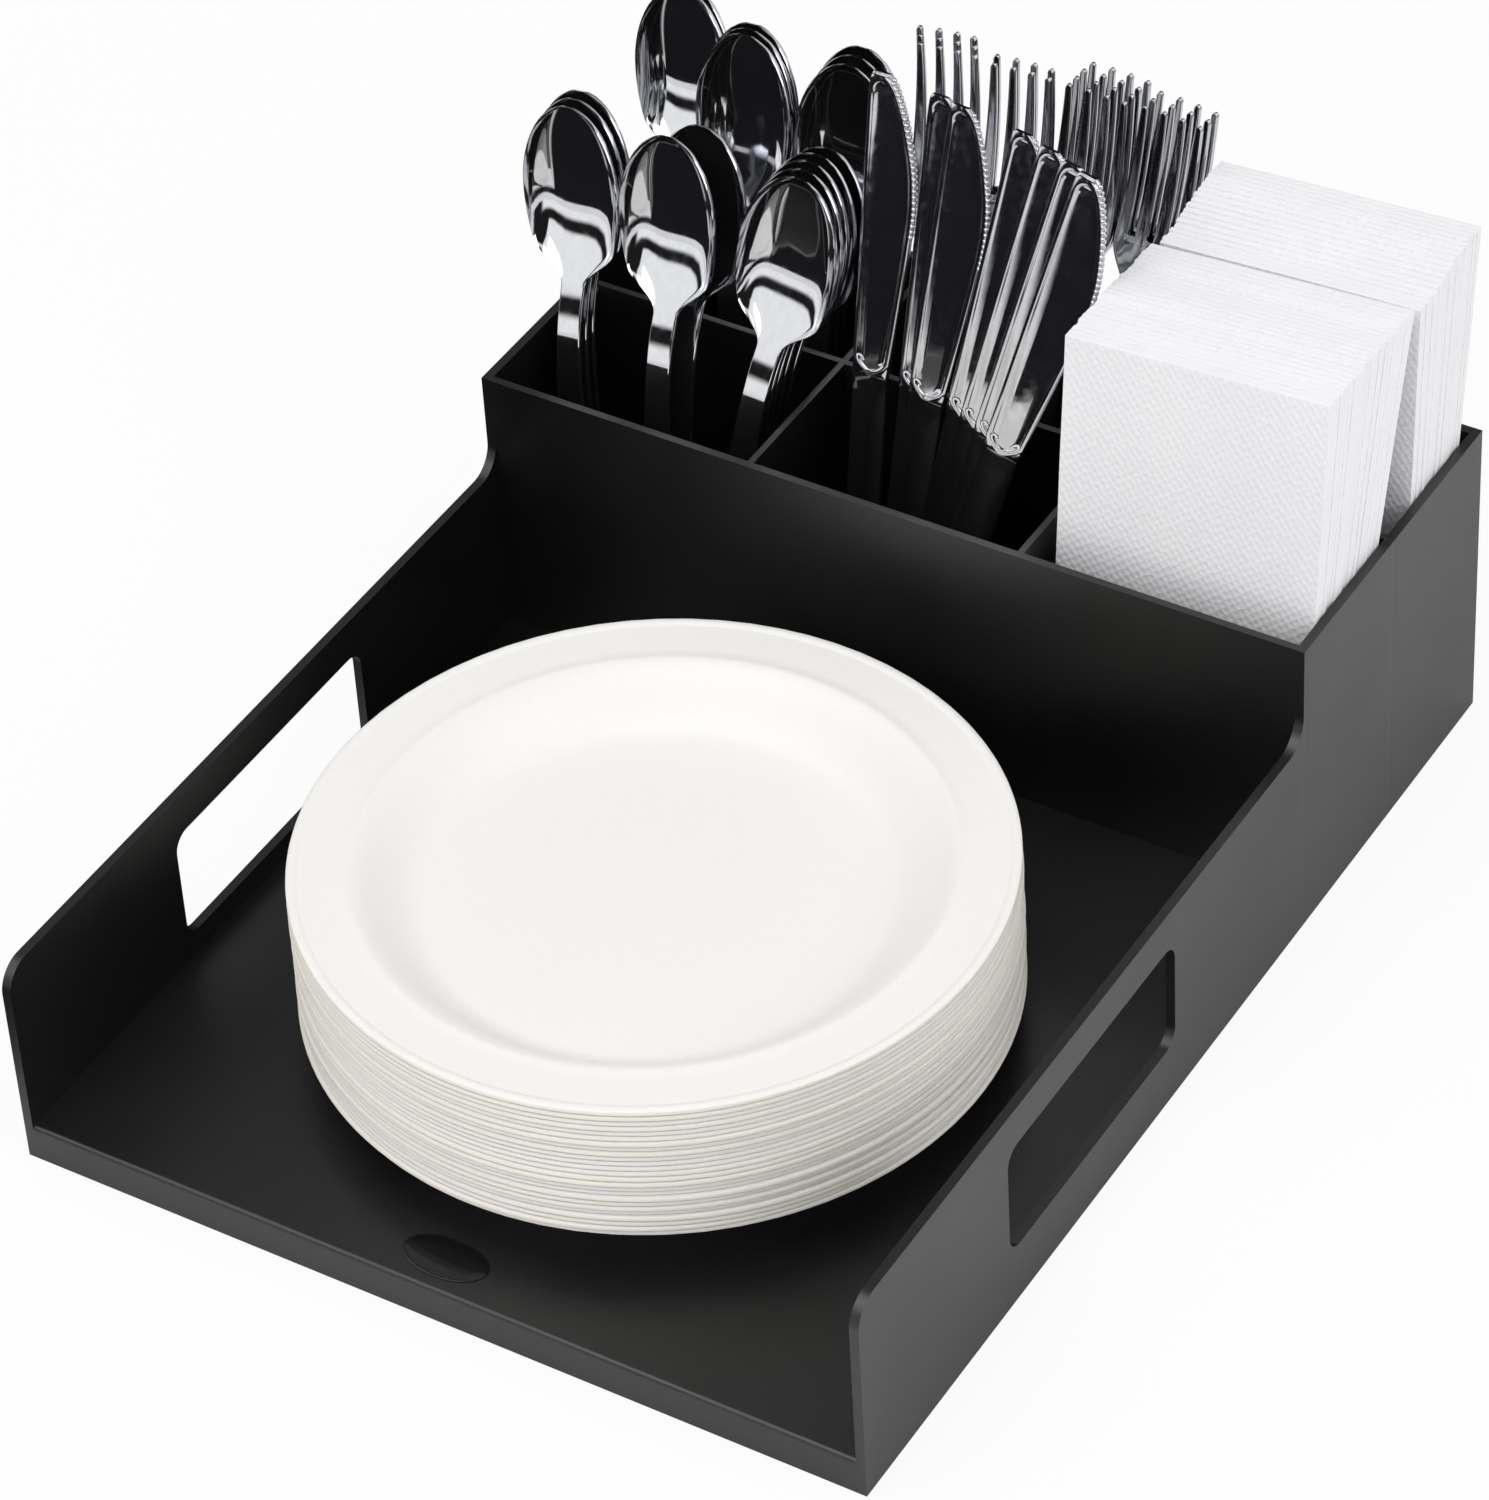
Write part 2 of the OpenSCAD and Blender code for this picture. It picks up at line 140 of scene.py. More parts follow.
def makeFloor():
    sweep, add = newMaterial("matteWhiteSweepPaper")
    place = add("ShaderNodeTexCoord").outputs
    rays = add("ShaderNodeLightPath").outputs
    reach = add("ShaderNodeVectorMath", {0: place["Object"]}, operation="LENGTH")
    axes = add("ShaderNodeSeparateXYZ", {0: place["Object"]}).outputs
    # for glossy rays, a painted shade on the floor at the caddy's left stands in for the caddy's shadow there
    beyond, aside, further = [
        add("ShaderNodeMapRange", {
            "Value": value, "From Min": start * mm, "From Max": start * mm * fade},
            interpolation_type="SMOOTHSTEP")
        for value, start, fade in (
            (reach.outputs["Value"], studio["sweepRadius"], studio["sweepFade"]),
            (axes["X"], -studio["leftEdge"], studio["leftFade"]),
            (reach.outputs["Value"], studio["brightRadius"], studio["brightFade"]))]
    dark = add("ShaderNodeMath", {0: beyond, 1: aside}, operation="MAXIMUM")
    shown = add("ShaderNodeMath", {0: dark, 1: rays["Is Glossy Ray"]}, operation="MULTIPLY")
    paper = add("ShaderNodeBsdfPrincipled", {
        "Base Color": hexColour(studio["floor"]), "Roughness": 0.9, "Specular IOR Level": 0.1})
    around = add("ShaderNodeMix", {
        0: further, 6: hexColour(studio["roomDark"]), 7: hexColour(studio["roomBright"])}, data_type="RGBA")
    room = add("ShaderNodeEmission", {"Color": around.outputs[2], "Strength": 1.0})
    both = add("ShaderNodeMixShader", {0: shown, 1: paper, 2: room})
    white = add("ShaderNodeEmission", {"Color": hexColour(studio["roomBright"]), "Strength": 1.0})
    direct = add("ShaderNodeMath", {0: rays["Is Camera Ray"], 1: studio["whiten"]}, operation="MULTIPLY")
    last = add("ShaderNodeMixShader", {0: direct, 1: both, 2: white})
    add("ShaderNodeOutputMaterial", {"Surface": last})
    half = studio["floorHalf"]
    mesh = bpy.data.meshes.new("floor")
    mesh.from_pydata([(-half, -half, 0), (half, -half, 0), (half, half, 0), (-half, half, 0)], [],
                     [(0, 1, 2, 3)])
    mesh.materials.append(sweep)
    floor = bpy.data.objects.new("floor", mesh)
    floor.location.z = -studio["floorDrop"]
    scene.collection.objects.link(floor)


def makeRoom():
    world = bpy.data.worlds.new("studioWorld")
    scene.world = world
    world.use_nodes = True
    world.node_tree.nodes.clear()
    add = partial(addNode, world.node_tree)
    rays = add("ShaderNodeLightPath").outputs
    way = add("ShaderNodeTexCoord").outputs["Generated"]
    axes = add("ShaderNodeSeparateXYZ", {0: way}).outputs
    fade = studio["panelFade"]
    sky = hexColour(studio["roomDark"])[1]
    for panel in studio["panels"]:
        toward = Vector(panel["toward"])
        facing = add("ShaderNodeVectorMath", {0: way, 1: toward}, operation="DOT_PRODUCT")
        across = add("ShaderNodeVectorMath", {0: way, 1: toward.cross((0, 0, 1))}, operation="DOT_PRODUCT")
        aside = add("ShaderNodeMath", {0: across.outputs["Value"]}, operation="ABSOLUTE")
        glow = panel["strength"]
        for value, start, end in (
                (facing.outputs["Value"], 0.0, fade["facing"]),
                (aside, panel["half"] + fade["side"], panel["half"]),
                (axes["Z"], panel["low"], panel["low"] + fade["low"]),
                (axes["Z"], panel["high"] + fade["high"], panel["high"])):
            part = add("ShaderNodeMapRange", {
                "Value": value, "From Min": start, "From Max": end}, interpolation_type="SMOOTHSTEP")
            glow = add("ShaderNodeMath", {0: glow, 1: part}, operation="MULTIPLY")
        sky = add("ShaderNodeMath", {0: sky, 1: glow}, operation="ADD")
    white = hexColour(studio["roomBright"])
    soft = add("ShaderNodeBackground", {"Color": white, "Strength": studio["worldStrength"]})
    seen = add("ShaderNodeBackground", {"Color": white, "Strength": 1.0})
    mirrored = add("ShaderNodeBackground", {"Color": sky, "Strength": 1.0})
    first = add("ShaderNodeMixShader", {0: rays["Is Glossy Ray"], 1: soft, 2: mirrored})
    last = add("ShaderNodeMixShader", {0: rays["Is Camera Ray"], 1: first, 2: seen})
    add("ShaderNodeOutputWorld", {"Surface": last})


def makeLamps():
    for lamp in studio["lamps"]:
        data = bpy.data.lights.new(lamp["name"], "AREA")
        data.shape = "RECTANGLE"
        data.size, data.size_y = lamp["size"]
        data.energy = lamp["watts"]
        source = bpy.data.objects.new(lamp["name"], data)
        source.matrix_world = aimed(lamp["at"], studio["lampTarget"])
        scene.collection.objects.link(source)


makeFloor()
makeRoom()
makeLamps()
print("studio lit")


# materials: soft patches that take a finish from its first colour and roughness to its second
def patches(add, place, finish):
    cloud = add("ShaderNodeTexNoise", {
        "Vector": place["Object"], "Scale": 1 / (finish["cloud"] * mm), "Detail": finish["detail"]})
    first, second = [hexColour(code) for code in finish["colours"]]
    colour = add("ShaderNodeMix", {0: cloud, 6: first, 7: second}, data_type="RGBA")
    (low, high), (shiny, dull) = finish["contrast"], finish["roughness"]
    rough = add("ShaderNodeMapRange", {
        "Value": cloud, "From Min": low, "From Max": high, "To Min": shiny, "To Max": dull})
    return colour.outputs[2], rough


caddyFinish = {
    "colours": ("#040405", "#0b0b0d"), "roughness": (0.3, 0.44), "cloud": 55, "detail": 2.0,
    "contrast": (0.0, 1.0), "shine": 0.65, "ior": 1.53,
    "grain": 0.9, "grainBump": 0.25, "grainDepth": 0.05,  # drawn coarser than it is, so that it shows
    "sinkAt": (78.5, 139.9), "sinkWidth": 2.2, "sinkBump": 0.5, "sinkDepth": 0.08}


# satin black ABS, injection moulded: soft broad reflections, a fine tool texture, faint sink lines
def mouldedAbs():
    finish = caddyFinish
    material, add = newMaterial("satinBlackMouldedAbs")
    place = add("ShaderNodeTexCoord").outputs
    grain = add("ShaderNodeTexNoise", {
        "Vector": place["Object"], "Scale": 1 / (finish["grain"] * mm), "Detail": 3.0, "Roughness": 0.6})
    colour, rough = patches(add, place, finish)
    axes = add("ShaderNodeSeparateXYZ", {0: place["Object"]}).outputs
    sinks = 0.0
    for at in finish["sinkAt"]:  # where the walls inside meet the outer wall
        off = add("ShaderNodeMath", {0: axes["Y"], 1: at * mm}, operation="SUBTRACT")
        away = add("ShaderNodeMath", {0: off}, operation="ABSOLUTE")
        dip = add("ShaderNodeMapRange", {
            "Value": away, "From Max": finish["sinkWidth"] * mm, "To Min": -1.0, "To Max": 0.0},
            interpolation_type="SMOOTHSTEP")
        sinks = add("ShaderNodeMath", {0: sinks, 1: dip}, operation="ADD")
    sink = add("ShaderNodeBump", {
        "Height": sinks, "Strength": finish["sinkBump"], "Distance": finish["sinkDepth"] * mm})
    bump = add("ShaderNodeBump", {
        "Height": grain, "Normal": sink, "Strength": finish["grainBump"],
        "Distance": finish["grainDepth"] * mm})
    shader = add("ShaderNodeBsdfPrincipled", {
        "Base Color": colour, "Roughness": rough, "IOR": finish["ior"],
        "Specular IOR Level": finish["shine"], "Normal": bump})
    add("ShaderNodeOutputMaterial", {"Surface": shader})
    return material


plateFinish = {
    "face": "#f6f5f3", "shade": "#f1efeb", "edge": "#f1ede3", "roughness": 0.45, "ior": 1.48,
    "middle": (0.0, -66.2), "radius": 114.5, "edgeWidth": 0.7, "edgeOver": 0.2,
    "fibre": 1.6, "fibreBump": 0.12, "fibreDepth": 0.05}  # drawn coarser than it is, so that it shows


# coated paperboard, pressed in a die: smooth white face, slight mottle, raw cream edge
def pressedBoard():
    finish = plateFinish
    material, add = newMaterial("pressedCoatedPaperboard")
    place = add("ShaderNodeTexCoord").outputs
    centred = add("ShaderNodeMapping", {
        "Vector": place["Object"], "Location": (-finish["middle"][0] * mm, -finish["middle"][1] * mm, 0)})
    flat = add("ShaderNodeVectorMath", {0: centred, 1: (1, 1, 0)}, operation="MULTIPLY")
    reach = add("ShaderNodeVectorMath", {0: flat}, operation="LENGTH")
    edge = add("ShaderNodeMapRange", {
        "Value": reach.outputs["Value"], "From Min": (finish["radius"] - finish["edgeWidth"]) * mm,
        "From Max": (finish["radius"] + finish["edgeOver"]) * mm}, interpolation_type="SMOOTHSTEP")
    fibre = add("ShaderNodeTexNoise", {
        "Vector": place["Object"], "Scale": 1 / (finish["fibre"] * mm), "Detail": 4.0, "Roughness": 0.65})
    face = add("ShaderNodeMix", {
        0: fibre, 6: hexColour(finish["face"]), 7: hexColour(finish["shade"])}, data_type="RGBA")
    colour = add("ShaderNodeMix", {
        0: edge, 6: face.outputs[2], 7: hexColour(finish["edge"])}, data_type="RGBA")
    bump = add("ShaderNodeBump", {
        "Height": fibre, "Strength": finish["fibreBump"], "Distance": finish["fibreDepth"] * mm})
    shader = add("ShaderNodeBsdfPrincipled", {
        "Base Color": colour.outputs[2], "Roughness": finish["roughness"], "IOR": finish["ior"],
        "Normal": bump})
    add("ShaderNodeOutputMaterial", {"Surface": shader})
    return material


napkinFinish = {
    "face": "#f7f7f9", "shade": "#f0f0f3", "cloud": 26, "roughness": 0.95,
    "dot": 2.4, "dotTurn": 38, "emboss": 0.38, "embossDepth": 0.9,
    "fibre": 0.8, "fibreBump": 0.25, "fibreDepth": 0.1}  # drawn coarser than it is, so that it shows


# creped tissue, embossed with rows of small dots: matt, soft, cloudy
def embossedTissue():
    finish = napkinFinish
    material, add = newMaterial("embossedTissuePaper")
    place = add("ShaderNodeTexCoord").outputs
    turned = add("ShaderNodeMapping", {
        "Vector": place["Object"], "Rotation": (math.radians(90), 0, math.radians(finish["dotTurn"]))})
    dots = add("ShaderNodeTexVoronoi", {
        "Vector": turned, "Scale": 1 / (finish["dot"] * mm), "Randomness": 0.3}, voronoi_dimensions="2D")
    fibre = add("ShaderNodeTexNoise", {
        "Vector": place["Object"], "Scale": 1 / (finish["fibre"] * mm), "Detail": 3.0})
    cloud = add("ShaderNodeTexNoise", {
        "Vector": place["Object"], "Scale": 1 / (finish["cloud"] * mm), "Detail": 2.0})
    colour = add("ShaderNodeMix", {
        0: cloud, 6: hexColour(finish["face"]), 7: hexColour(finish["shade"])}, data_type="RGBA")
    # only faces that look to the front or the back are embossed
    facing = add("ShaderNodeSeparateXYZ", {0: place["Normal"]})
    front = add("ShaderNodeMath", {0: facing.outputs["Y"]}, operation="ABSOLUTE")
    pressed = add("ShaderNodeMapRange", {
        "Value": front, "From Min": 0.7, "From Max": 0.9, "To Max": finish["emboss"]})
    press = add("ShaderNodeBump", {
        "Height": dots, "Strength": pressed, "Distance": finish["embossDepth"] * mm})
    bump = add("ShaderNodeBump", {
        "Height": fibre, "Normal": press, "Strength": finish["fibreBump"],
        "Distance": finish["fibreDepth"] * mm})
    shader = add("ShaderNodeBsdfPrincipled", {
        "Base Color": colour.outputs[2], "Roughness": finish["roughness"], "Specular IOR Level": 0.2,
        "Sheen Weight": 0.15, "Normal": bump})
    add("ShaderNodeOutputMaterial", {"Surface": shader})
    return material


silverFinish = {
    "colours": ("#d4d5d8", "#c6c7cb"), "roughness": (0.03, 0.1), "cloud": 3, "detail": 4.0,
    "contrast": (0.35, 0.75), "ripple": 16, "rippleBump": 0.15, "rippleDepth": 0.3}


# polystyrene with a vacuum-coated metal skin: near mirror, slightly rippled by the mould
def metallisedPolystyrene():
    finish = silverFinish
    material, add = newMaterial("vacuumMetallisedPolystyrene")
    place = add("ShaderNodeTexCoord").outputs
    ripple = add("ShaderNodeTexNoise", {
        "Vector": place["Object"], "Scale": 1 / (finish["ripple"] * mm), "Detail": 1.0})
    colour, rough = patches(add, place, finish)
    bump = add("ShaderNodeBump", {
        "Height": ripple, "Strength": finish["rippleBump"], "Distance": finish["rippleDepth"] * mm})
    shader = add("ShaderNodeBsdfPrincipled", {
        "Base Color": colour, "Metallic": 0.99, "Roughness": rough, "Normal": bump})
    add("ShaderNodeOutputMaterial", {"Surface": shader})
    return material


caddyPlastic, plateBoard, napkinTissue, silverSkin = (
    mouldedAbs(), pressedBoard(), embossedTissue(), metallisedPolystyrene())
print("materials made")


# pieces: from bmesh or geometry nodes to a plain mesh at the origin
def newPiece(name, bm, material=None, sharp=35):
    bmesh.ops.remove_doubles(bm, verts=bm.verts, dist=1e-5)
    bmesh.ops.recalc_face_normals(bm, faces=bm.faces)
    mesh = bpy.data.meshes.new(name)
    bm.to_mesh(mesh)
    bm.free()
    mesh.shade_smooth()
    mesh.set_sharp_from_angle(angle=math.radians(sharp))
    if material:
        mesh.materials.append(material)
    piece = bpy.data.objects.new(name, mesh)
    scene.collection.objects.link(piece)
    return piece


def plainMesh(piece):
    bpy.context.view_layer.update()
    graph = bpy.context.evaluated_depsgraph_get()
    mesh = bpy.data.meshes.new_from_object(piece.evaluated_get(graph))
    piece.modifiers.clear()
    spare, piece.data = piece.data, mesh
    bpy.data.meshes.remove(spare)


def addTree(piece, tree, values):
    modifier = piece.modifiers.new(tree.name, "NODES")
    modifier.node_group = tree
    sockets = {item.name: item.identifier for item in tree.interface.items_tree if item.in_out == "INPUT"}
    for name, value in values.items():
        modifier[sockets[name]] = value
    plainMesh(piece)


def newTree(name, inputs):
    tree = bpy.data.node_groups.new(name, "GeometryNodeTree")
    tree.interface.new_socket("Geometry", in_out="INPUT", socket_type="NodeSocketGeometry")
    for label, kind in inputs:
        tree.interface.new_socket(label, in_out="INPUT", socket_type="NodeSocket" + kind)
    tree.interface.new_socket("Geometry", in_out="OUTPUT", socket_type="NodeSocketGeometry")
    add = partial(addNode, tree)
    return tree, add, add("NodeGroupInput").outputs


def endTree(tree, geometry, finish):
    add = partial(addNode, tree)
    real = add("GeometryNodeRealizeInstances", {"Geometry": geometry})
    coated = add("GeometryNodeSetMaterial", {"Geometry": real, "Material": finish})
    add("NodeGroupOutput", {"Geometry": coated})
    return tree


def finishPiece(piece, body, slot, *replaced):
    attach(piece, body)
    if replaced:
        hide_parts(*replaced)
    print(" ", piece.name, len(piece.data.polygons), "faces")


def loft(bm, rings):
    rows = [[bm.verts.new(p) for p in ring] for ring in rings]
    count = len(rows[0])
    for low, high in zip(rows, rows[1:]):
        for k in range(count):
            bm.faces.new((low[k], low[(k + 1) % count], high[(k + 1) % count], high[k]))
    bm.faces.new(rows[0])
    bm.faces.new(list(reversed(rows[-1])))


# caddy: the moulding itself, with the small roundings a tool leaves on every edge
caddyShape = {"edgeRadius": 0.7, "segments": 3, "edgeAngle": 40, "flatAngle": 0.5}


def makeCaddy():
    shape = caddyShape
    bm = bmesh.new()
    bm.from_mesh(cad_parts["caddy_body"].data)
    bmesh.ops.remove_doubles(bm, verts=bm.verts, dist=1e-6)
    flat = math.radians(shape["flatAngle"])
    bmesh.ops.dissolve_limit(bm, angle_limit=flat, verts=bm.verts, edges=bm.edges)
    piece = newPiece("caddyMoulding", bm, caddyPlastic)
    bevel = piece.modifiers.new("edges", "BEVEL")
    bevel.width = shape["edgeRadius"] * mm
    bevel.segments = shape["segments"]
    bevel.limit_method = "ANGLE"
    bevel.angle_limit = math.radians(shape["edgeAngle"])
    bevel.harden_normals = True
    bevel.miter_outer = "MITER_ARC"
    plainMesh(piece)
    finishPiece(piece, "caddy", "caddy_plastic", "caddy_body")


makeCaddy()

# a thin bare oval plate set on the tray's floor near its front edge
ovalShape = {"length": 30, "width": 17, "thickness": 0.5, "sunk": 0.05, "edge": 0.4, "edgeRound": 0.3,
             "crown": 0.06, "crownInset": 3, "at": (-3, -190.2, 13.6), "segments": 64}
ovalFinish = {"colours": ("#060608", "#0c0c0f"), "roughness": (0.11, 0.21), "cloud": 7, "detail": 4.0,
              "contrast": (0.3, 0.7), "ior": 1.53}


# polished black ABS: the moulding's plastic without the tool texture, dulled in patches by handling
def polishedAbs():
    finish = ovalFinish
    material, add = newMaterial("polishedBlackAbs")
    place = add("ShaderNodeTexCoord").outputs
    colour, rough = patches(add, place, finish)
    shader = add("ShaderNodeBsdfPrincipled", {
        "Base Color": colour, "Roughness": rough, "IOR": finish["ior"]})
    add("ShaderNodeOutputMaterial", {"Surface": shader})
    return material


def makeOval():
    shape = ovalShape
    top, edge = shape["thickness"], shape["edge"]
    corner = shape["edgeRound"] * edge
    profile = [(0, -shape["sunk"]), (0, top - edge), (corner, top - corner), (edge, top),
               (shape["crownInset"], top + shape["crown"])]
    turns = [2 * math.pi * k / shape["segments"] for k in range(shape["segments"])]
    rings = []
    for inset, rise in profile:
        long, wide = shape["length"] / 2 - inset, shape["width"] / 2 - inset
        rings.append([(long * math.cos(a), wide * math.sin(a), rise) for a in turns])
    bm = bmesh.new()
    loft(bm, rings)
    piece = newPiece("ovalPlate", bm, polishedAbs())
    piece.data.transform(Matrix.Scale(mm, 4) @ Matrix.Translation(shape["at"]))
    finishPiece(piece, "caddy", "caddy_plastic")


makeOval()
print("caddy made")

# plates: one pressed plate, stacked with a little slip
plateShape = {
    "radius": 114.5, "flatRadius": 73, "rimStart": 97, "depth": 17, "thickness": 1.2, "wallShare": 0.97,
    "bead": 0.55, "beadHalf": 1.7, "crimps": 72, "crimpDepth": 0.05, "crimpFrom": 84, "crimpGrow": 20,
    "flatRings": [0, 24, 48, 66, 71], "rimRings": [100, 104, 108, 110.5],
    "beadRings": [3.4, 3, 2.5, 2, 1.5, 1, 0.5, 0.2, 0],
    "pitch": 2.1, "floor": 13.6, "middle": (0.0, -66.2), "firstSeed": 4}
plateRuns = [
    {"name": "lowerPlates", "node": "lower_plates", "body": "plate_stack", "count": 14, "slip": 0.6,
     "segments": 128, "wallRings": 9},
    {"name": "upperPlates", "node": "upper_plates", "body": "plate_stack", "count": 10, "slip": 0.4,
     "segments": 128, "wallRings": 9},
    {"name": "topPlate", "node": "top_plate", "body": "top_plate", "count": 1, "slip": 0.0,
     "segments": 256, "wallRings": 22},
]


def plateHeight(r):
    shape = plateShape
    start, share = shape["rimStart"], shape["wallShare"]
    if r < start:
        return share * shape["depth"] * ease((r - shape["flatRadius"]) / (start - shape["flatRadius"]))
    rim = (r - start) / (shape["radius"] - start)
    off = (r - shape["radius"] + shape["beadHalf"]) / shape["beadHalf"]
    bead = shape["bead"] * max(0.0, 1 - off ** 2)
    return shape["depth"] * mix(share, 1.0, rim) - shape["bead"] + bead


def plateMesh(segments, wallRings):
    shape = plateShape
    radii = shape["flatRings"] + [shape["flatRadius"]]
    radii += steps(shape["flatRadius"], shape["rimStart"], wallRings) + shape["rimRings"]
    radii += [shape["radius"] - inset for inset in shape["beadRings"]]
    turns = [2 * math.pi * k / segments for k in range(segments)]
    bm = bmesh.new()
    rows = []
    for side in (1, 0):  # the face, then the underside
        for r in radii if side else reversed(radii):
            height = plateHeight(r)
            crimp = ease((r - shape["crimpFrom"]) / shape["crimpGrow"])
            ring = []
            for turn in turns:
                wave = shape["crimpDepth"] * math.cos(shape["crimps"] * turn) * crimp
                ring.append((r * math.cos(turn), r * math.sin(turn),
                             height + wave + side * shape["thickness"]))
            rows.append([bm.verts.new(p) for p in ring] if r else [bm.verts.new(ring[0])] * segments)
    for low, high in zip(rows, rows[1:]):
        for k in range(segments):
            corners = [low[k], low[(k + 1) % segments], high[(k + 1) % segments], high[k]]
            bm.faces.new(sorted(set(corners), key=corners.index))
    return bm


def plateTree():
    tree, add, sizes = newTree("plateStack", [
        ("Count", "Int"), ("Pitch", "Float"), ("Slip", "Float"), ("Seed", "Int"), ("Finish", "Material")])
    rise = add("ShaderNodeCombineXYZ", {"Z": sizes["Pitch"]})
    line = add("GeometryNodeMeshLine", {"Count": sizes["Count"], "Offset": rise})
    back = add("ShaderNodeMath", {0: sizes["Slip"], 1: -1.0}, operation="MULTIPLY")
    low = add("ShaderNodeCombineXYZ", {"X": back, "Y": back})
    high = add("ShaderNodeCombineXYZ", {"X": sizes["Slip"], "Y": sizes["Slip"]})
    slip = add("FunctionNodeRandomValue", {
        0: low, 1: high, "Seed": sizes["Seed"]}, data_type="FLOAT_VECTOR")
    moved = add("GeometryNodeSetPosition", {"Geometry": line, "Offset": slip})
    turn = add("FunctionNodeRandomValue", {
        0: (0, 0, 0), 1: (0, 0, 6.283), "Seed": sizes["Seed"]}, data_type="FLOAT_VECTOR")  # any turn
    stack = add("GeometryNodeInstanceOnPoints", {
        "Points": moved, "Instance": sizes["Geometry"], "Rotation": turn})
    return endTree(tree, stack, sizes["Finish"])


def makePlates():
    tree = plateTree()
    shape = plateShape
    below = 0
    for run in plateRuns:
        piece = newPiece(run["name"], plateMesh(run["segments"], run["wallRings"]), sharp=60)
        addTree(piece, tree, {
            "Count": run["count"], "Pitch": shape["pitch"], "Slip": run["slip"],
            "Seed": shape["firstSeed"] + below, "Finish": plateBoard})
        piece.data.transform(Matrix.Scale(mm, 4) @ Matrix.Translation(
            shape["middle"] + (shape["floor"] + below * shape["pitch"],)))
        finishPiece(piece, run["body"], "plate_paper", run["node"])
        below += run["count"]


makePlates()
print("plates stacked")

# napkins: folded leaves that fan from upright to leaning on the wall behind
napkinShape = {
    "width": 92, "height": 178, "foot": 1.44, "footRise": 0.4, "footPinch": 0.6, "fold": 0.14,
    "foldFrom": 1.2, "foldSteps": (1, 0.7, 0.4, 0.1, 0), "sideBulge": 0.15, "skew": 0.025, "skewFrom": 0.3,
    "rows": 26, "columns": 14, "leaves": 2, "pitch": 2.95, "floor": 13.7, "middle": 102.6, "lift": 0.4,
    "slip": 0.4, "slipUp": 0.14, "step": 3.2, "stepScale": 0.09, "puff": 1.0, "puffScale": 0.02, "hinge": 100}
napkinPacks = [
    {"name": "frontNapkins", "node": "napkins_front", "foot": 80.2, "count": 12, "leans": (6.1, 11.4),
     "top": 2.15, "spread": 0.12, "firstHeight": 1.0},
    {"name": "rearNapkins", "node": "napkins_rear", "foot": 153.0, "count": 9, "leans": (3.0, 7.8),
     "top": 2.3, "spread": 0.0, "firstHeight": 0.965},
]


def leafMesh(top):
    shape = napkinShape
    width, height, fold = shape["width"], shape["height"], shape["fold"]
    heights = [0, shape["footRise"]] + steps(shape["footRise"], height - shape["foldFrom"], shape["rows"])
    heights += [height - fold * share for share in shape["foldSteps"]]
    across = [mix(-0.5, 0.5, k / shape["columns"]) * width for k in range(shape["columns"] + 1)]
    rings = []
    for z in heights:
        full = mix(shape["foot"], top, z / height)
        near = min(1, (height - z) / fold)  # rounded fold along the top
        t = full - fold * (1 - math.sqrt(1 - (1 - near) ** 2)) if z else shape["footPinch"] * full
        ring = [(x, (full - t) / 2) for x in across] + [(across[-1] + shape["sideBulge"], full / 2)]
        ring += [(x, (full + t) / 2) for x in reversed(across)]
        ring += [(across[0] - shape["sideBulge"], full / 2)]
        rings.append([(x, y, z * (1 + shape["skew"] * (x / width + shape["skewFrom"]))) for x, y in ring])
    bm = bmesh.new()
    loft(bm, rings)
    return bm


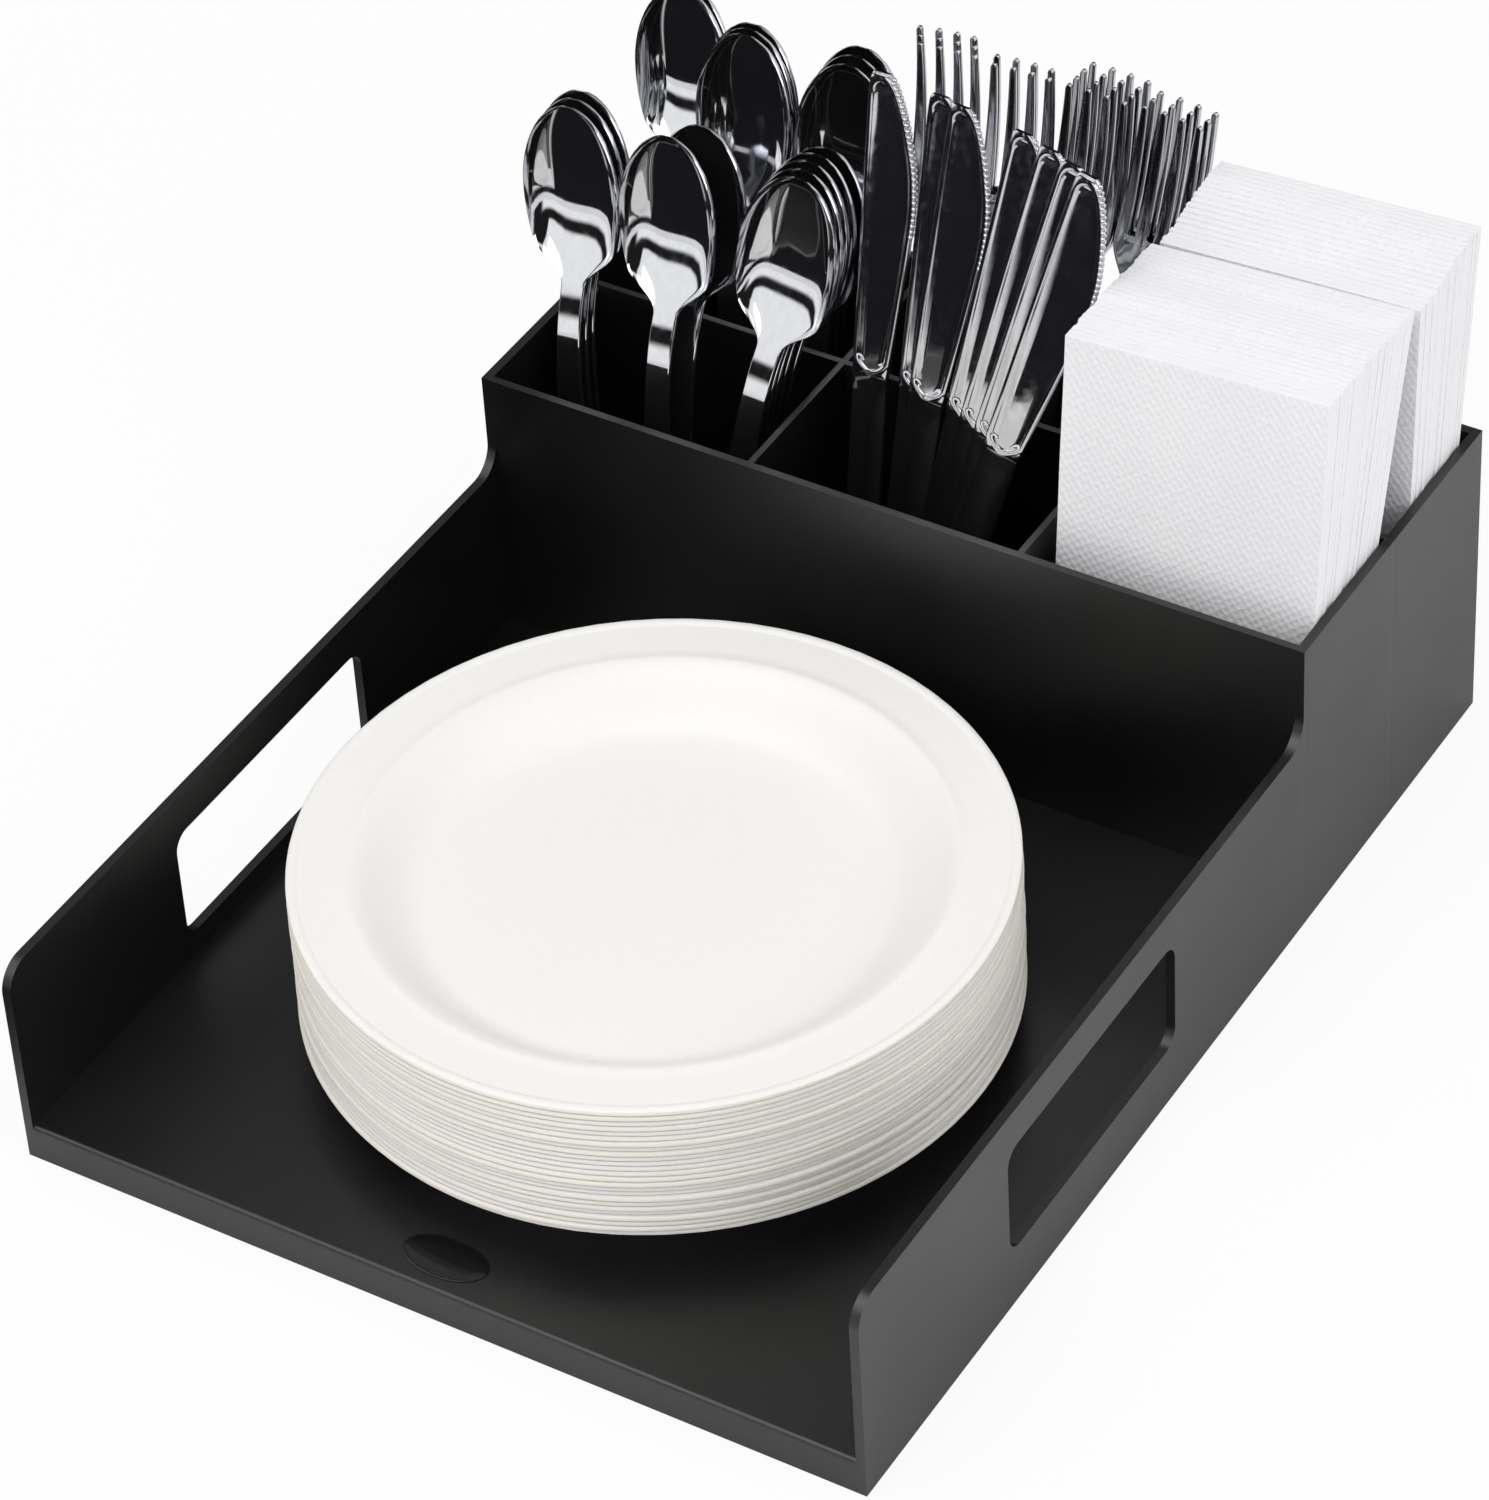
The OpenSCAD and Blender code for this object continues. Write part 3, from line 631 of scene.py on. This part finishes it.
def napkinTree():
    tree, add, sizes = newTree("napkinFan", [
        ("Count", "Int"), ("Pitch", "Float"), ("First Lean", "Float"), ("Last Lean", "Float"),
        ("Slip", "Float"), ("Step", "Float"), ("Puff", "Float"), ("Hinge", "Float"), ("Height", "Float"),
        ("Spread", "Float"), ("First Height", "Float"), ("Seed", "Int"), ("Finish", "Material")])
    step = add("ShaderNodeCombineXYZ", {"Y": sizes["Pitch"]})
    line = add("GeometryNodeMeshLine", {"Count": sizes["Count"], "Offset": step})
    index = add("GeometryNodeInputIndex")
    last = add("ShaderNodeMath", {0: sizes["Count"], 1: 1.0}, operation="SUBTRACT")
    lean = add("ShaderNodeMapRange", {
        "Value": index, "From Max": last, "To Min": sizes["First Lean"], "To Max": sizes["Last Lean"]})
    turn = add("ShaderNodeCombineXYZ", {"X": lean})
    # each leaf slips a little, and slow steps run through the pack's height
    back = add("ShaderNodeMath", {0: sizes["Slip"], 1: -1.0}, operation="MULTIPLY")
    low = add("ShaderNodeCombineXYZ", {"X": back})
    high = add("ShaderNodeCombineXYZ", {"X": sizes["Slip"], "Z": napkinShape["slipUp"]})
    slip = add("FunctionNodeRandomValue", {
        0: low, 1: high, "Seed": sizes["Seed"]}, data_type="FLOAT_VECTOR")
    slow = add("ShaderNodeTexNoise", {"Scale": napkinShape["stepScale"], "Detail": 0.0})
    tall = add("ShaderNodeMath", {0: slow, 1: sizes["Step"]}, operation="MULTIPLY")
    grown = add("ShaderNodeCombineXYZ", {"Z": tall})
    shift = add("ShaderNodeVectorMath", {0: slip, 1: grown}, operation="ADD")
    moved = add("GeometryNodeSetPosition", {"Geometry": line, "Offset": shift})
    share = add("ShaderNodeMapRange", {
        "Value": index, "From Max": last, "To Min": sizes["First Height"],
        "To Max": 1.0}, interpolation_type="SMOOTHSTEP")
    tallness = add("ShaderNodeCombineXYZ", {"X": 1.0, "Y": 1.0, "Z": share})
    fan = add("GeometryNodeInstanceOnPoints", {
        "Points": moved, "Instance": sizes["Geometry"], "Rotation": turn, "Scale": tallness})
    loose = add("GeometryNodeRealizeInstances", {"Geometry": fan})
    wave = add("ShaderNodeTexNoise", {"Scale": napkinShape["puffScale"], "Detail": 1.0})
    centred = add("ShaderNodeMath", {0: wave, 1: 0.5}, operation="SUBTRACT")
    push = add("ShaderNodeMath", {0: centred, 1: sizes["Puff"]}, operation="MULTIPLY")
    # above the wall each leaf moves back by a share of its distance from the first leaf
    spot = add("GeometryNodeInputPosition")
    axes = add("ShaderNodeSeparateXYZ", {0: spot}).outputs
    slope = add("ShaderNodeMath", {0: sizes["First Lean"]}, operation="TANGENT")
    behind = add("ShaderNodeMath", {0: axes["Z"], 1: slope, 2: axes["Y"]}, operation="MULTIPLY_ADD")
    above = add("ShaderNodeMapRange", {
        "Value": axes["Z"], "From Min": sizes["Hinge"], "From Max": sizes["Height"],
        "To Max": sizes["Spread"]})
    opened = add("ShaderNodeMath", {0: behind, 1: above, 2: push}, operation="MULTIPLY_ADD")
    along = add("ShaderNodeCombineXYZ", {"Y": opened})
    soft = add("GeometryNodeSetPosition", {"Geometry": loose, "Offset": along})
    return endTree(tree, soft, sizes["Finish"])


def makeNapkins():
    tree = napkinTree()
    shape = napkinShape
    for pack in napkinPacks:
        first, last = pack["leans"]
        piece = newPiece(pack["name"], leafMesh(pack["top"]), sharp=50)
        addTree(piece, tree, {
            "Count": pack["count"] * shape["leaves"], "Pitch": shape["pitch"] / shape["leaves"],
            "First Lean": -math.radians(first), "Last Lean": -math.radians(last), "Slip": shape["slip"],
            "Step": shape["step"], "Puff": shape["puff"], "Hinge": shape["hinge"],
            "Height": shape["height"], "Spread": pack["spread"], "First Height": pack["firstHeight"],
            "Seed": pack["count"], "Finish": napkinTissue})
        piece.data.transform(Matrix.Scale(mm, 4) @ Matrix.Translation(
            (shape["middle"], pack["foot"], shape["floor"] + shape["lift"])))
        finishPiece(piece, pack["node"], "napkin_paper", pack["node"])


makeNapkins()
print("napkins folded")

# cutlery: nested sets that stand on their handle ends in the bays
cutleryStand = {
    "thickness": 1.6, "lean": 14, "floor": 13.9, "frontBay": 85.8, "rearBay": 147.0, "bayWidth": 98,
    "bayDepth": 59, "bayStep": 100.2, "sway": 0.25, "seed": 7, "dip": 0.5,
    "endLength": 5, "endRound": 0.75, "endRows": [0, 0.6, 1.5, 3, 5]}


def endShare(s):  # the handle's end is rounded
    length = cutleryStand["endLength"]
    return math.sqrt(1 - cutleryStand["endRound"] * (1 - s / length) ** 2) if s < length else 1.0


def nestTree():
    tree, add, sizes = newTree("nestedSet", [
        ("Count", "Int"), ("Pitch", "Float"), ("Rise", "Float"), ("Fan", "Float"), ("Sway", "Float"),
        ("Seed", "Int"), ("Finish", "Material")])
    step = add("ShaderNodeCombineXYZ", {"Y": sizes["Pitch"], "Z": sizes["Rise"]})
    line = add("GeometryNodeMeshLine", {"Count": sizes["Count"], "Offset": step})
    index = add("GeometryNodeInputIndex")
    back = add("ShaderNodeMath", {0: sizes["Sway"], 1: -1.0}, operation="MULTIPLY")
    loose = add("FunctionNodeRandomValue", {
        2: back, 3: sizes["Sway"], "Seed": sizes["Seed"]}, data_type="FLOAT")
    fan = add("ShaderNodeMath", {0: index, 1: sizes["Fan"], 2: loose.outputs[1]}, operation="MULTIPLY_ADD")
    turn = add("ShaderNodeCombineXYZ", {"Y": fan})
    nest = add("GeometryNodeInstanceOnPoints", {
        "Points": line, "Instance": sizes["Geometry"], "Rotation": turn})
    return endTree(tree, nest, sizes["Finish"])


nesting = nestTree()


# a row's right, back and tip are shares of the bay, and its pitch counts thicknesses
def standSet(piece, body, column, bay, row, shape):
    stand = cutleryStand
    side = math.asin(row["tip"] * stand["bayWidth"] / shape["length"])
    nextSide = math.asin((row["tip"] + row.get("further", 0)) * stand["bayWidth"] / shape["length"])
    twist = math.radians(row.get("twist", 0))
    lean = math.radians(stand["lean"])
    pitch = row.get("pitch", shape.get("pitch")) * stand["thickness"]
    piece.data.transform(Matrix.Rotation(side, 4, "Y") @ Matrix.Rotation(twist, 4, "Z"))
    addTree(piece, nesting, {
        "Count": row["count"], "Pitch": pitch, "Rise": pitch * math.tan(lean), "Fan": nextSide - side,
        "Sway": math.radians(stand["sway"]), "Seed": stand["seed"], "Finish": silverSkin})
    dip = stand["dip"] * shape["end"] / 2 * abs(math.sin(side))
    lift = Matrix.Translation((0, 0, stand["thickness"] * math.tan(lean) + dip))
    spot = Matrix.Translation((
        column * stand["bayStep"] + row["right"] * stand["bayWidth"],
        stand[bay] + row.get("back", 0) * stand["bayDepth"], stand["floor"]))
    piece.data.transform(Matrix.Scale(mm, 4) @ (spot @ Matrix.Rotation(-lean, 4, "X") @ lift))
    finishPiece(piece, body, "silver_plastic", row["node"])


# spoons: arched handle, narrow neck, deep oval bowl with its hollow to the front
spoonShape = {
    "length": 185, "bowl": 64, "bowlWidth": 37, "bowlDepth": 7.5, "neck": 9, "end": 14,
    "widest": 0.53, "opening": 0.42, "tipBlunt": 1.011, "dishFrom": 2.0, "dishTo": 0.6, "flatness": 5.5,
    "arch": 4, "swing": 1.87, "swingRise": 1.5, "swingBack": 6, "levelOut": 4, "lip": 0.5,
    "across": 16, "handleRows": 22, "bowlRows": 30}
spoonSets = [
    {"node": "spoons_front_left", "right": -0.265, "tip": -0.212, "count": 3, "pitch": 3},
    {"node": "spoons_front_middle", "right": 0.046, "tip": -0.13, "further": 0.08, "count": 2, "pitch": 5.75},
    {"node": "spoons_front_right", "right": 0.241, "tip": 0.19, "count": 5, "pitch": 2.8},
    {"node": "spoons_rear_left", "right": -0.327, "back": 0.24, "tip": -0.172, "count": 2, "pitch": 2},
    {"node": "spoons_rear_middle", "right": -0.056, "tip": -0.1, "count": 3, "pitch": 2},
    {"node": "spoons_rear_right", "right": 0.245, "tip": 0.007, "count": 3, "pitch": 3.375},
]


def spoonHalf(s, start, v):
    shape = spoonShape
    if v < 0:
        return endShare(s) * mix(shape["end"], shape["neck"], ease(s / start)) / 2
    if v < shape["widest"]:
        q = v / shape["widest"]  # round below, drawn in to the neck
        width = math.sqrt(q * (2 - q)) * ease(q / shape["opening"])
        return mix(shape["neck"], shape["bowlWidth"], width) / 2
    q = (v - shape["widest"]) / (shape["tipBlunt"] * (1 - shape["widest"]))
    return shape["bowlWidth"] / 2 * math.sqrt(max(0, 1 - q ** 2))


def spoonBend(s, start, v):
    shape = spoonShape
    if v > 0:  # the bowl goes on in the neck's line and then levels out
        return (shape["arch"] * shape["swing"] * shape["swingBack"] / start * (s - start)
                * (1 - v) ** shape["levelOut"])
    w = s / start  # the handle swings back to the bowl near its neck
    return -shape["arch"] * shape["swing"] * w ** shape["swingRise"] * (1 - w ** shape["swingBack"])


def spoonMesh():
    shape = spoonShape
    start = shape["length"] - shape["bowl"]
    t = cutleryStand["thickness"]
    stations = cutleryStand["endRows"] + steps(cutleryStand["endLength"], start, shape["handleRows"])
    stations += [start + shape["bowl"] * ease(share) for share in steps(0, 1, shape["bowlRows"])]
    spread = [math.cos(math.pi * k / shape["across"]) for k in range(shape["across"] + 1)]
    rings = []
    for s in stations:
        v = (s - start) / shape["bowl"]
        half, bend, dish = spoonHalf(s, start, v), spoonBend(s, start, v), 0
        if 0 < v < 1:
            dish = shape["bowlDepth"] * math.sin(math.pi * v) ** mix(shape["dishFrom"], shape["dishTo"], v)
        lip = min(shape["lip"], half / 3)  # a narrow sloped edge round the rim catches the light
        rise = lip * max(0.0, 1 - (shape["length"] - s) / shape["lip"])
        front = [((half - lip) * u, bend + dish * (1 - abs(u) ** shape["flatness"]) + rise, s)
                 for u in spread]
        back = [(x, y + t - 1.5 * rise, s) for x, y, z in reversed(front)]
        rim, under = bend + lip, bend + t - 0.5 * lip
        rings.append([(half, rim, s)] + front + [(-half, rim, s), (-half, under, s)] + back
                     + [(half, under, s)])
    bm = bmesh.new()
    loft(bm, rings)
    return bm


def makeSpoons():
    for row in spoonSets:
        piece = newPiece(row["node"].replace("spoons", "spoonSet"), spoonMesh(), sharp=60)
        body = row["node"].rsplit("_", 1)[0]
        standSet(piece, body, -1, body.split("_")[1] + "Bay", row, spoonShape)


makeSpoons()
print("spoons nested")

# forks: slim handle, curved palm and four tapered tines
forkShape = {
    "length": 200, "tines": 46, "tineCount": 4, "tineWidth": 4.1, "tipWidth": 1.9, "taper": 1.2,
    "tipLength": 1.2, "tipSteps": (0.8, 0.4, 0.1, 0), "tipBlunt": 0.04, "palm": 22, "palmOpen": 0.9,
    "head": 24, "headTurn": 150, "hollow": 1.2, "neck": 7, "end": 14, "arch": 4, "edge": 0.42,
    "edgeAngle": 50, "strips": 4, "handleRows": 16, "palmRows": 10, "tineRows": 12, "pitch": 2.8125}
forkSets = [
    {"node": "forks_far_left", "right": -0.292, "tip": -0.13, "further": -0.022, "count": 3},
    {"node": "forks_left", "right": -0.084, "tip": -0.057, "further": -0.01, "count": 2},
    {"node": "forks_right", "right": 0.092, "tip": 0.05, "further": 0.008, "count": 4},
    {"node": "forks_far_right", "right": 0.276, "tip": 0.149, "further": 0.01, "count": 3},
]


def forkMesh():
    shape = forkShape
    length, root = shape["length"], shape["length"] - shape["tines"]
    shoulder = root - shape["palm"]
    count, strips, tineWidth = shape["tineCount"], shape["strips"], shape["tineWidth"]
    gap = (shape["head"] - count * tineWidth) / (count - 1)

    def bend(s):
        if s < shoulder:
            return -shape["arch"] * math.sin(math.pi * s / shoulder)
        turn = math.radians(shape["headTurn"]) * (s - shoulder) / (length - shoulder)
        return shape["arch"] * math.sin(turn)

    def half(s):
        if s < shoulder:
            return endShare(s) * mix(shape["end"], shape["neck"], ease(s / shoulder)) / 2
        opened = ease((s - shoulder) / (shape["palmOpen"] * shape["palm"]))
        return mix(shape["neck"], shape["head"], opened) / 2

    columns = []  # (x at the tines' root, tine number, place across the tine)
    for tine in range(count):
        left = -shape["head"] / 2 + tine * (tineWidth + gap)
        columns += [(left + tineWidth * k / strips, tine, 2 * k / strips - 1) for k in range(strips + 1)]
    lower = cutleryStand["endRows"] + steps(cutleryStand["endLength"], shoulder, shape["handleRows"])
    lower += steps(shoulder, root, shape["palmRows"])
    upper = steps(root, length - shape["tipLength"], shape["tineRows"])
    upper += [length - d for d in shape["tipSteps"]]
    bm = bmesh.new()
    grid = []
    for s in lower + upper:
        row = []
        for x, tine, across in columns:
            if s <= root:
                x *= half(s) / (shape["head"] / 2)
            else:
                share = (s - root) / shape["tines"]
                middle = -shape["head"] / 2 + tineWidth / 2 + tine * (tineWidth + gap)
                width = mix(tineWidth, shape["tipWidth"], share ** shape["taper"]) / 2
                near = max(0, (s - length + shape["tipLength"]) / shape["tipLength"])
                x = middle + across * width * math.sqrt(max(shape["tipBlunt"], 1 - near * near))
            u = x / (shape["head"] / 2)
            hollow = shape["hollow"] * (1 - u * u) * ease((s - shoulder) / shape["palm"])
            row.append(bm.verts.new((x, bend(s) + hollow, s)))
        grid.append(row)
    for k, (low, high) in enumerate(zip(grid, grid[1:])):
        for j in range(len(columns) - 1):
            if k + 1 < len(lower) or columns[j][1] == columns[j + 1][1]:  # open between the tines
                bm.faces.new((low[j], low[j + 1], high[j + 1], high[j]))
    return bm


def makeForks():
    shape = forkShape
    for row in forkSets:
        piece = newPiece(row["node"].replace("forks", "forkSet"), forkMesh())
        wall = piece.modifiers.new("wall", "SOLIDIFY")
        wall.thickness = cutleryStand["thickness"]
        wall.offset = 1 if piece.data.polygons[0].normal.y > 0 else -1  # the front face keeps its place
        edges = piece.modifiers.new("edges", "BEVEL")
        edges.width = shape["edge"]
        edges.segments = 2
        edges.limit_method = "ANGLE"
        edges.angle_limit = math.radians(shape["edgeAngle"])
        plainMesh(piece)
        standSet(piece, "forks", 0, "rearBay", row, shape)


makeForks()
print("forks nested")

# knives: raised border round a sunk blade panel, beaded cutting edge, ridged handle
knifeShape = {
    "length": 222, "blade": 104, "bladeWidth": 20, "end": 13, "smooth": 0.04, "smoothTip": 0.7,
    "ridge": 0.1, "ridgeEnd": 12, "handleEdge": 0.95, "lower": 0.35, "lowerOver": 6,
    # inset and depth from the blade's edge to its border, then share and depth across the border
    "edgeProfile": [(0, 0.7), (0.1, 0.3), (0.4, 0.06), (0.45, 0.04), (0.5, 0.03)],
    "borderProfile": [(0.2, 0.01), (0.45, 0.0), (0.8, 0.05)],
    "border": 2.0, "panel": 0.6, "panelEase": 0.8, "panelLip": 0.3, "panelShares": (0.93, 0.5),
    "foot": 6.5, "footEase": 0.8, "head": 4, "backEdge": 0.4, "pitch": 1.125,
    "handleRows": 6, "ridgeRows": 6, "footRows": 16, "bladeRows": 12, "tipRows": 30, "tipFrom": 0.6,
    "bead": 1.8, "beadPitch": 2.0, "beadFrom": 0.5, "beadTo": 0.985, "beadInset": 0.05, "beadDepth": 0.45,
    "beadSpots": 40, "beadSegments": 7, "beadRings": 5}
bladeOutline = [  # height up the blade, then its back and its cutting edge, as shares
    (0, -0.335, 0.335), (0.05, -0.34, 0.37), (0.2, -0.34, 0.455), (0.4, -0.34, 0.57), (0.58, -0.34, 0.66),
    (0.71, -0.34, 0.62), (0.845, -0.34, 0.45), (0.92, -0.34, 0.31), (0.96, -0.335, 0.21),
    (0.988, -0.325, 0.12), (1, -0.28, 0.02)]
knifeSets = [
    {"node": "knives_far_left", "right": -0.265, "back": 0.146, "tip": -0.087, "count": 2, "twist": -4},
    {"node": "knives_left", "right": -0.133, "back": 0.092, "tip": 0.102, "further": -0.083, "count": 2,
     "twist": -3},
    {"node": "knives_middle", "right": -0.071, "back": 0.022, "tip": 0.394, "further": -0.105, "count": 2},
    {"node": "knives_right", "right": -0.03, "back": -0.02, "tip": 0.449, "count": 1, "twist": 3},
    {"node": "knives_far_right", "right": 0.01, "back": -0.09, "tip": 0.485, "count": 2},
]


def outlineAt(share, column):
    for low, high in zip(bladeOutline, bladeOutline[1:]):
        if share <= high[0]:
            return mix(low[column], high[column], (share - low[0]) / (high[0] - low[0]))
    return bladeOutline[-1][column]


def bladeEdges(share):
    shape = knifeShape
    # averaging over a short reach rounds the outline
    reach = min(shape["smooth"], share, max(0.0, 1 - share) * shape["smoothTip"])
    near = [min(1.0, share + reach * k / 3) for k in range(-3, 4)]
    return [sum(outlineAt(v, column) for v in near) / len(near) * shape["bladeWidth"] for column in (1, 2)]


def roundedEnd(share):
    return math.sqrt(1 - (1 - min(1.0, max(0.0, share))) ** 2)


def knifeRow(s):
    shape = knifeShape
    t = cutleryStand["thickness"]
    start, border = shape["length"] - shape["blade"], shape["border"]
    if s >= start:
        left, right = bladeEdges((s - start) / shape["blade"])
    else:
        right = endShare(s) * shape["end"] / 2
        left = -right
    middle, half = (left + right) / 2, (right - left) / 2
    # the border's outer line, then the panel inside it
    foot = half * roundedEnd((s - start) / shape["foot"])
    inner = max(0.0, foot - border) * roundedEnd((shape["length"] - border - s) / shape["head"])
    inner *= roundedEnd((s - start - border) / (shape["foot"] - border))
    deep = shape["panel"] * min(1.0, inner / shape["panelEase"])
    # the handle's ridge opens from its end into the border's foot
    opened = max(0.0, (s - start + shape["ridgeEnd"]) / shape["ridgeEnd"])
    slope = shape["ridge"] * opened
    profile = shape["edgeProfile"]
    limit = profile[3][0]
    wall = half - foot < limit  # the border reaches the edge of the blade
    side = shape["ridge"] if s < start + shape["foot"] and not wall else 0
    out = [(half - inset, depth + side) for inset, depth in profile[:3]]
    if side:
        out[0] = (half, shape["handleEdge"])
    if wall:
        out += [(half - limit, profile[3][1]), (min(foot, half - profile[4][0]), profile[4][1])]
    else:
        bend = min(half - limit, half * opened)
        out += [(bend, max(slope, shape["ridge"] * bend / half)), (foot, slope)]
    if foot:
        outer = out[-1][0]
        across = [(mix(outer, inner, share), depth) for share, depth in shape["borderProfile"]]
        if not wall:
            across[0] = (across[0][0], mix(slope, 0.0, shape["footEase"]))
        out += across + [(inner, min(shape["panelLip"], deep))]
        out += [(inner * share, deep) for share in shape["panelShares"]]
    else:
        out += [(0.0, slope)] * (len(shape["borderProfile"]) + 1 + len(shape["panelShares"]))
    centre = deep if foot else slope
    front = [(middle - x, y) for x, y in out] + [(middle, centre)]
    front += [(middle + x, y) for x, y in reversed(out)]
    cut, under = min(shape["backEdge"], half / 3), t - shape["backEdge"]
    back = [(right, under), (right - cut, t), (middle, t), (left + cut, t), (left, under)]
    # the handle's face lies a little lower than the blade's rim
    rise = shape["lower"] * (1 - ease((s - start + shape["lowerOver"]) / shape["lowerOver"]))
    return [(x, y + rise, s) for x, y in front] + [(x, y, s) for x, y in back]


def knifeMesh():
    shape = knifeShape
    blade, foot = shape["blade"], shape["foot"]
    start = shape["length"] - blade
    apex = start - shape["ridgeEnd"]
    stations = cutleryStand["endRows"] + steps(cutleryStand["endLength"], apex, shape["handleRows"])
    stations += steps(apex, start, shape["ridgeRows"])
    rows = shape["footRows"]
    stations += [start + foot * (1 - math.cos(math.pi / 2 * k / rows)) for k in range(1, rows + 1)]
    stations += steps(start + foot, start + shape["tipFrom"] * blade, shape["bladeRows"])
    rows = shape["tipRows"]
    stations += [start + blade * mix(shape["tipFrom"], 1, math.sin(math.pi / 2 * k / rows))
                 for k in range(1, rows + 1)]
    bm = bmesh.new()
    loft(bm, [knifeRow(s) for s in stations])
    # a loose line along the cutting edge carries the beads
    spots = [shape["beadFrom"]] + steps(shape["beadFrom"], shape["beadTo"], shape["beadSpots"])
    line = [bm.verts.new((bladeEdges(v)[1] - shape["beadInset"], shape["beadDepth"], start + v * blade))
            for v in spots]
    for a, b in zip(line, line[1:]):
        bm.edges.new((a, b))
    return bm


def beadTree():
    tree, add, sizes = newTree("beadedEdge", [("Bead", "Float"), ("Pitch", "Float"), ("Finish", "Material")])
    faces = add("GeometryNodeInputMeshEdgeNeighbors")
    bare = add("FunctionNodeCompare", {2: faces, 3: 0}, data_type="INT", operation="EQUAL")
    curve = add("GeometryNodeMeshToCurve", {"Mesh": sizes["Geometry"], "Selection": bare})
    spaced = add("GeometryNodeResampleCurve", {"Curve": curve, "Length": sizes["Pitch"]}, mode="LENGTH")
    ball = add("GeometryNodeMeshUVSphere", {
        "Segments": knifeShape["beadSegments"], "Rings": knifeShape["beadRings"], "Radius": sizes["Bead"]})
    smooth = add("GeometryNodeSetShadeSmooth", {"Geometry": ball})
    row = add("GeometryNodeInstanceOnPoints", {"Points": spaced, "Instance": smooth})
    blade = add("GeometryNodeDeleteGeometry", {
        "Geometry": sizes["Geometry"], "Selection": bare}, domain="EDGE")
    both = add("GeometryNodeJoinGeometry", {"Geometry": blade})
    tree.links.new(row.outputs[0], both.inputs[0])
    return endTree(tree, both, sizes["Finish"])


def makeKnives():
    shape = knifeShape
    beads = beadTree()
    for row in knifeSets:
        piece = newPiece(row["node"].replace("knives", "knifeSet"), knifeMesh(), sharp=50)
        addTree(piece, beads, {"Bead": shape["bead"] / 2, "Pitch": shape["beadPitch"], "Finish": silverSkin})
        standSet(piece, "knives", 0, "frontBay", row, shape)


makeKnives()
print("knives nested")
